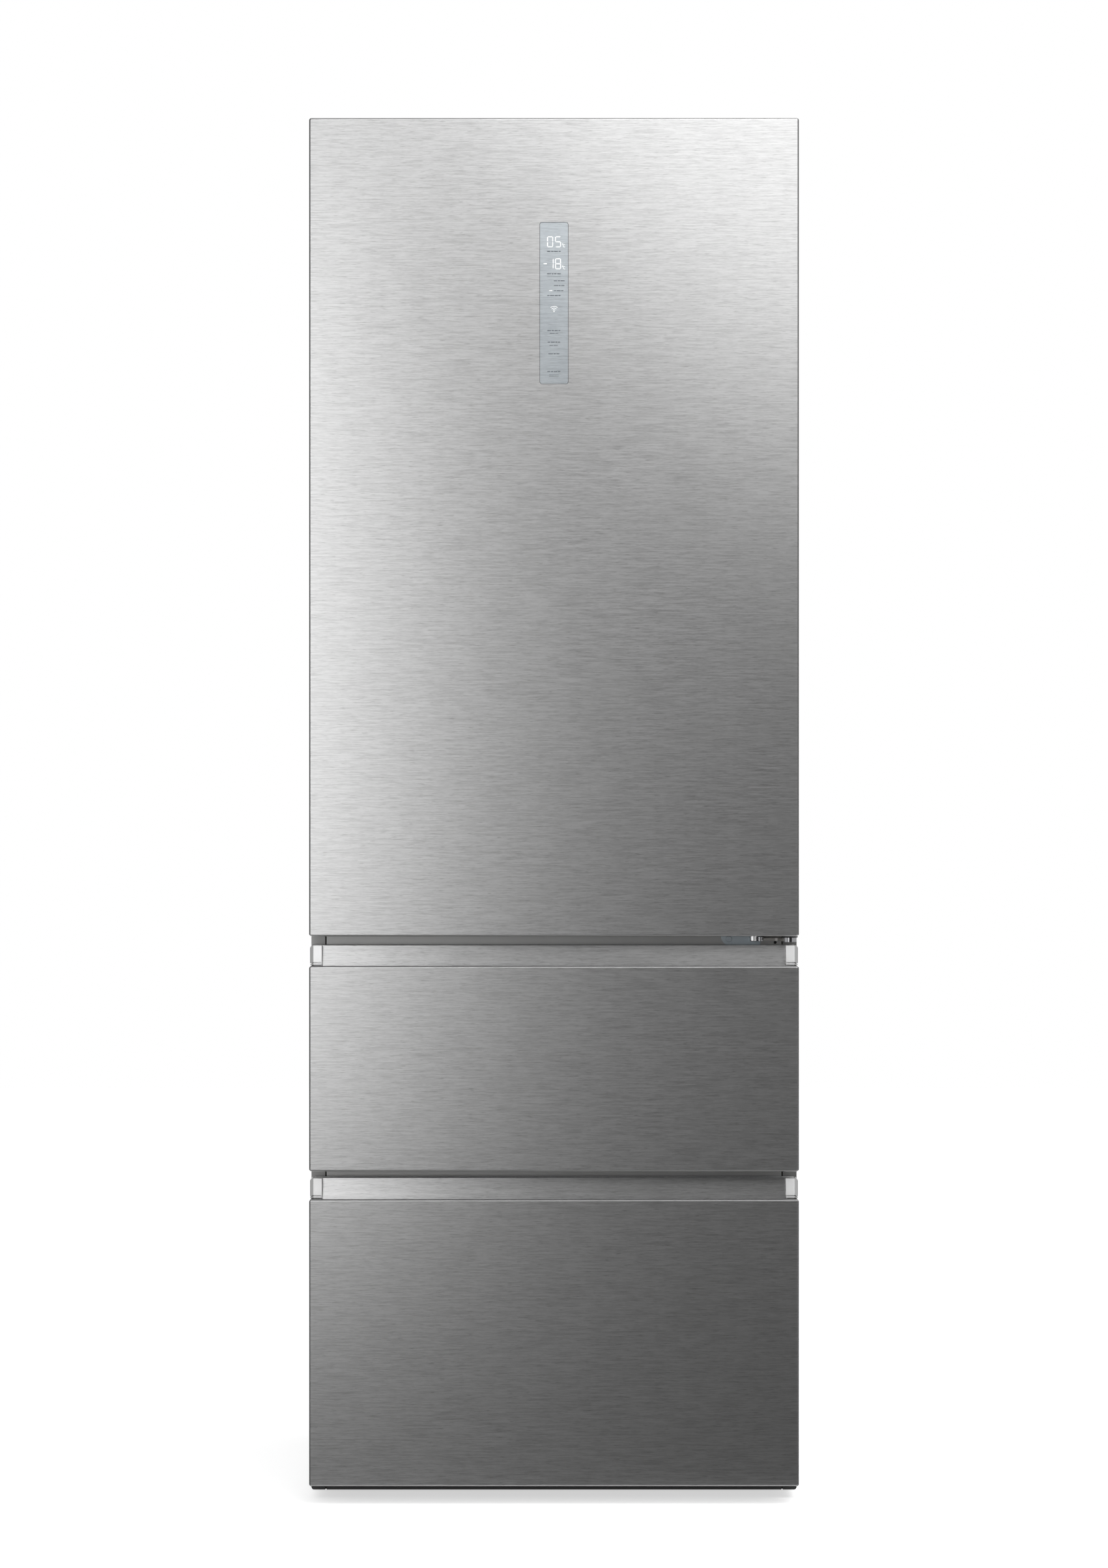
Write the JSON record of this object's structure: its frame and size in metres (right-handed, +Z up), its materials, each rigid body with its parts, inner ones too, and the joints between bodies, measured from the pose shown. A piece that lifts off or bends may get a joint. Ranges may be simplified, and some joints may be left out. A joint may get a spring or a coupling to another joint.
{
  "type": "fridge-freezer",
  "caption": "Tall free-standing fridge-freezer: a brushed steel door over pull-out freezer drawers, with recessed grip strips and an upright display.",
  "frame": {"origin": "on the floor under the middle of the bounding box", "axes": "+Z up, +X to the right seen from the front, and the front faces -Y"},
  "size_m": [0.7, 0.675, 1.984],
  "materials": {
    "brushed_steel": "satin",
    "grip_steel": "satin",
    "silver_caps": "gloss",
    "cabinet_paint": "satin",
    "rear_steel": "satin",
    "foam": "matte",
    "white_liner": "gloss",
    "insulated_front": "gloss",
    "grey_caps": "matte",
    "gasket": "matte",
    "clear_plastic": "gloss",
    "shelf_glass": "gloss",
    "shelf_trim": "satin",
    "lamp_lens": "gloss",
    "display": "gloss",
    "hinge_steel": "satin",
    "plated_steel": "polished",
    "rail_steel": "satin",
    "black_plastic": "matte",
    "fan_plastic": "matte",
    "black_paint": "satin",
    "fins": "satin",
    "copper": "satin"
  },
  "bodies": {
    "cabinet": {"outer_cabinet": "cabinet_paint", "rear_panel": "rear_steel", "insulation_foam": "foam", "fridge_liner": "white_liner", "freezer_liner": "white_liner", "mullion_cover": "cabinet_paint", "freezer_crossbar": "cabinet_paint", "base_pan": "cabinet_paint", "roller_axles": "plated_steel", "machine_base": "rear_steel", "compressor": "black_paint", "condenser": "fins", "condenser_fan_frame": "black_plastic", "drip_tray": "black_plastic", "refrigerant_pipes": "copper", "machine_cover": "rear_steel", "evaporator_cover": "white_liner", "evaporator": "fins", "evaporator_fan_frame": "fan_plastic", "air_duct_cover": "white_liner", "interior_lights": "lamp_lens", "glass_shelves": "shelf_glass", "shelf_trims": "shelf_trim", "crisper_drawer": "clear_plastic", "chiller_drawer": "clear_plastic", "control_box": "grey_caps", "top_hinge": "hinge_steel", "top_hinge_cover": "grey_caps", "middle_hinge": "hinge_steel", "hinge_knuckle": "plated_steel", "hinge_hardware": "plated_steel", "outer_rails": "rail_steel"},
    "door": {"door_panel": "brushed_steel", "door_liner": "insulated_front", "door_end_caps": "grey_caps", "door_gasket": "gasket", "door_bins": "clear_plastic", "display_window": "display", "hinge_bushes": "black_plastic"},
    "upper_drawer": {"upper_drawer_panel": "brushed_steel", "upper_drawer_core": "insulated_front", "upper_drawer_gasket": "gasket", "upper_grip_strip": "grip_steel", "upper_grip_caps": "silver_caps", "upper_basket": "clear_plastic", "upper_inner_rails": "rail_steel"},
    "upper_slide": {"upper_middle_rails": "rail_steel"},
    "lower_drawer": {"lower_drawer_panel": "brushed_steel", "lower_drawer_core": "insulated_front", "lower_drawer_gasket": "gasket", "lower_grip_strip": "grip_steel", "lower_grip_caps": "silver_caps", "lower_basket": "clear_plastic", "lower_inner_rails": "rail_steel"},
    "lower_slide": {"lower_middle_rails": "rail_steel"},
    "evaporator_fan": {"evaporator_fan": "fan_plastic"},
    "condenser_fan": {"condenser_fan": "black_plastic"},
    "rear_rollers": {"rear_rollers": "black_plastic"},
    "front_foot_left": {"front_foot_left": "black_plastic"},
    "front_foot_right": {"front_foot_right": "black_plastic"}
  },
  "joints": [
    {"name": "door_swing", "type": "hinge", "parent": "cabinet", "child": "door", "pos_m": [0.338, -0.3135, 0.812], "axis": [0, 0, 1], "range_deg": [0, 120]},
    {"name": "upper_drawer_slide", "type": "slide", "parent": "cabinet", "child": "upper_drawer", "axis": [0, -1, 0], "range_m": [0, 0.4]},
    {"name": "upper_middle_slide", "type": "slide", "parent": "cabinet", "child": "upper_slide", "axis": [0, -1, 0], "range_m": [0, 0.2]},
    {"name": "lower_drawer_slide", "type": "slide", "parent": "cabinet", "child": "lower_drawer", "axis": [0, -1, 0], "range_m": [0, 0.33]},
    {"name": "lower_middle_slide", "type": "slide", "parent": "cabinet", "child": "lower_slide", "axis": [0, -1, 0], "range_m": [0, 0.165]},
    {"name": "evaporator_fan_spin", "type": "hinge", "parent": "cabinet", "child": "evaporator_fan", "pos_m": [0, 0.2225, 0.67315], "axis": [0, -1, 0], "continuous": true},
    {"name": "condenser_fan_spin", "type": "hinge", "parent": "cabinet", "child": "condenser_fan", "pos_m": [0.04, 0.23, 0.091], "axis": [1, 0, 0], "continuous": true},
    {"name": "roller_spin", "type": "hinge", "parent": "cabinet", "child": "rear_rollers", "pos_m": [0, 0.2775, 0.015], "axis": [1, 0, 0], "continuous": true},
    {"name": "left_foot_turn", "type": "hinge", "parent": "cabinet", "child": "front_foot_left", "pos_m": [-0.3, -0.1825, 0], "axis": [0, 0, 1], "range_deg": [0, 720]},
    {"name": "right_foot_turn", "type": "hinge", "parent": "cabinet", "child": "front_foot_right", "pos_m": [0.3, -0.1825, 0], "axis": [0, 0, 1], "range_deg": [0, 720]}
  ],
  "couplings": [
    {"joint": "upper_middle_slide", "follows": "upper_drawer_slide", "ratio": 0.5},
    {"joint": "lower_middle_slide", "follows": "lower_drawer_slide", "ratio": 0.5}
  ]
}
